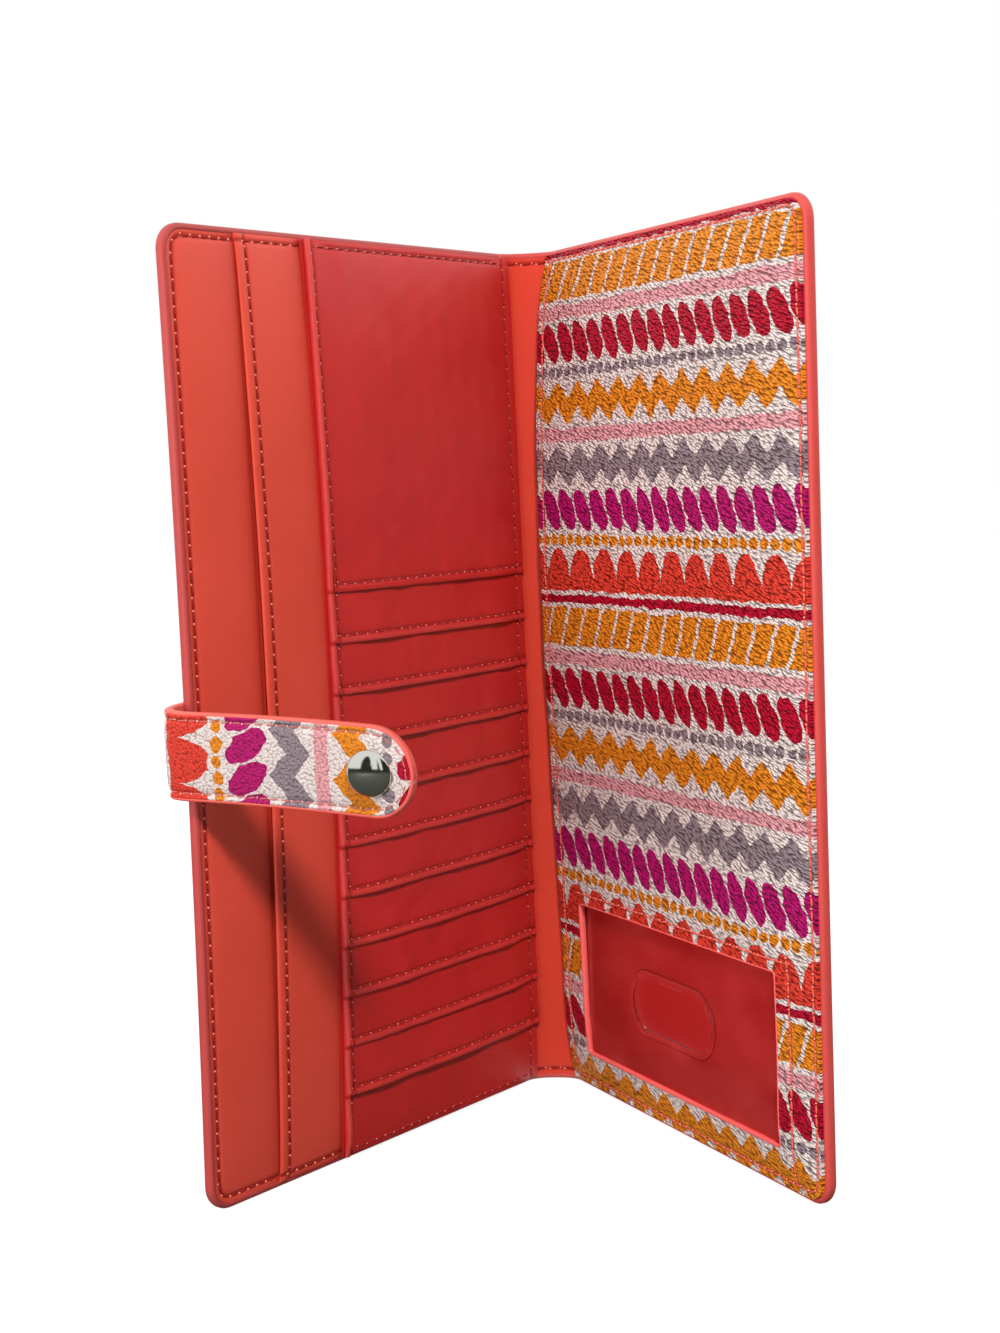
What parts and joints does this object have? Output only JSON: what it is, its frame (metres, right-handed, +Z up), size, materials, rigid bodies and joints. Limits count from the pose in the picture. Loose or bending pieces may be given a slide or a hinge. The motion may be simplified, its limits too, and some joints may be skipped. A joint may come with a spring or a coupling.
{
  "type": "travel document wallet",
  "caption": "Tall bifold travel wallet with lapped card slots, a ticket pocket, a windowed pocket and a strap that snaps shut, standing half open.",
  "frame": {"origin": "foot of the spine, midway between its two fold lines, at the level the wallet stands on", "axes": "+Z up along the fold lines, +X from the back cover to the front cover, opening towards -Y"},
  "size_m": [0.1632, 0.151, 0.25],
  "materials": {
    "printed_canvas": "pebble-grained coated canvas with a banded print",
    "coral_leatherette": "smooth semi-matt coral leatherette",
    "coral_edge": "turned and painted coral edge",
    "red_fabric": "fine woven red lining fabric with a low sheen",
    "stiffener": "grey board",
    "padding": "white non-woven interlining",
    "clear_vinyl": "clear glossy vinyl sheet",
    "nickel": "polished nickel plate"
  },
  "bodies": {
    "back_cover": {"back_outer_skin": "printed_canvas", "back_board": "stiffener", "back_lining": "coral_leatherette", "back_edge_binding": "coral_edge", "ticket_pocket_panel": "coral_leatherette", "card_panel_backing": "red_fabric", "front_card_pocket": "red_fabric", "card_slot_01": "red_fabric", "card_slot_02": "red_fabric", "card_slot_03": "red_fabric", "card_slot_04": "red_fabric", "card_slot_05": "red_fabric", "card_slot_06": "red_fabric", "card_slot_07": "red_fabric", "card_slot_08": "red_fabric", "card_slot_09": "red_fabric", "card_slot_10": "red_fabric", "card_panel_hem": "red_fabric", "strap_anchor_outer": "printed_canvas", "strap_anchor_lining": "coral_leatherette"},
    "spine": {"spine_outer_skin": "printed_canvas", "spine_interlining": "padding", "spine_lining": "coral_leatherette", "spine_binding_foot": "coral_edge", "spine_binding_head": "coral_edge"},
    "front_cover": {"front_outer_skin": "printed_canvas", "front_board": "stiffener", "front_lining": "coral_leatherette", "front_edge_binding": "coral_edge", "front_pocket_panel": "printed_canvas", "id_window": "clear_vinyl", "id_window_backing": "red_fabric", "snap_stud": "nickel", "snap_post": "nickel"},
    "strap_gusset": {"strap_gusset_outer": "printed_canvas", "strap_gusset_lining": "coral_leatherette"},
    "strap_tongue": {"strap_tongue_outer": "printed_canvas", "strap_tongue_lining": "coral_leatherette", "snap_cap": "nickel", "snap_socket": "nickel"}
  },
  "joints": [
    {"name": "spine_fold_back", "type": "hinge", "parent": "back_cover", "child": "spine", "pos_m": [-0.0065, 0, 0], "axis": [0, 0, 1], "range_deg": [-32, 58]},
    {"name": "spine_fold_front", "type": "hinge", "parent": "spine", "child": "front_cover", "pos_m": [0.0065, 0, 0], "axis": [0, 0, 1], "range_deg": [-32, 58]},
    {"name": "strap_root", "type": "hinge", "parent": "back_cover", "child": "strap_gusset", "pos_m": [-0.08394, -0.11976, 0.119], "axis": [0, 0, -1], "range_deg": [0, 130]},
    {"name": "strap_flap", "type": "hinge", "parent": "strap_gusset", "child": "strap_tongue", "pos_m": [-0.06341, -0.12929, 0.119], "axis": [0, 0, -1], "range_deg": [-80, 40]}
  ],
  "couplings": [
    {"joint": "spine_fold_front", "follows": "spine_fold_back", "ratio": 1}
  ]
}
